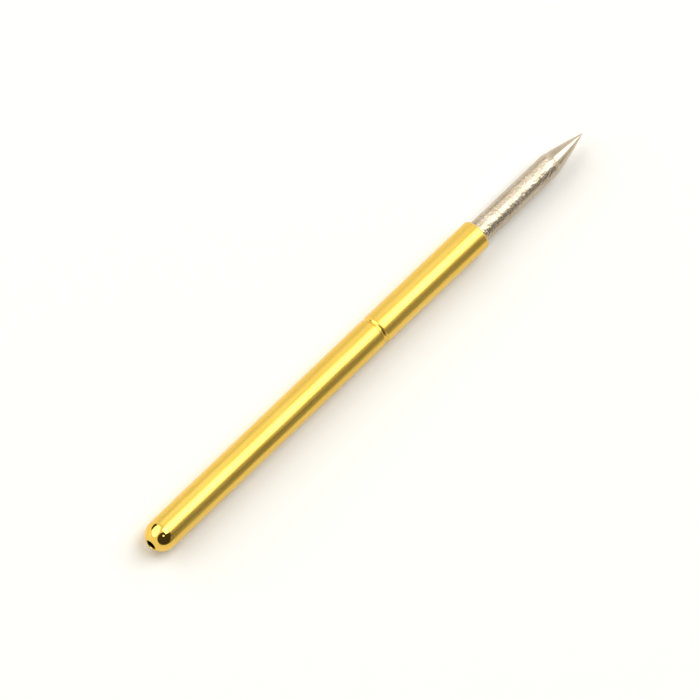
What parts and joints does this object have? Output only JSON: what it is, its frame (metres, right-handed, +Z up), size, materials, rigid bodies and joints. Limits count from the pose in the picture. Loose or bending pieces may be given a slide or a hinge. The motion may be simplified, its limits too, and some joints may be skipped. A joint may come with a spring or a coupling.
{
  "type": "spring-loaded test probe",
  "caption": "Slim pogo pin: a gold-plated tube with a domed, vented tail and a rolled crimp holds a spring and a spear-tipped plunger that slides in under load.",
  "frame": {"origin": "centre of the barrel's mouth, on the axis", "axes": "+X along the axis from the tail to the spear tip, +Z up as the pin lies on a table"},
  "size_m": [0.0259, 0.0014, 0.0014],
  "materials": {
    "gold_plate": "gold plated, satin along the drawn tube and polished on the domed tail",
    "nickel_plate": "nickel plated steel, finely turned, bright on the spear tip",
    "spring_wire": "drawn spring wire, bright"
  },
  "bodies": {
    "held_barrel": {"barrel": "gold_plate", "spring": "spring_wire"},
    "sliding_plunger": {"plunger": "nickel_plate"}
  },
  "joints": [
    {"name": "plunger_slide", "type": "slide", "parent": "held_barrel", "child": "sliding_plunger", "axis": [-1, 0, 0], "range_m": [0, 0.004], "stiffness_N_per_m": 360, "springref_m": -0.00167, "deforming": ["spring"]}
  ]
}
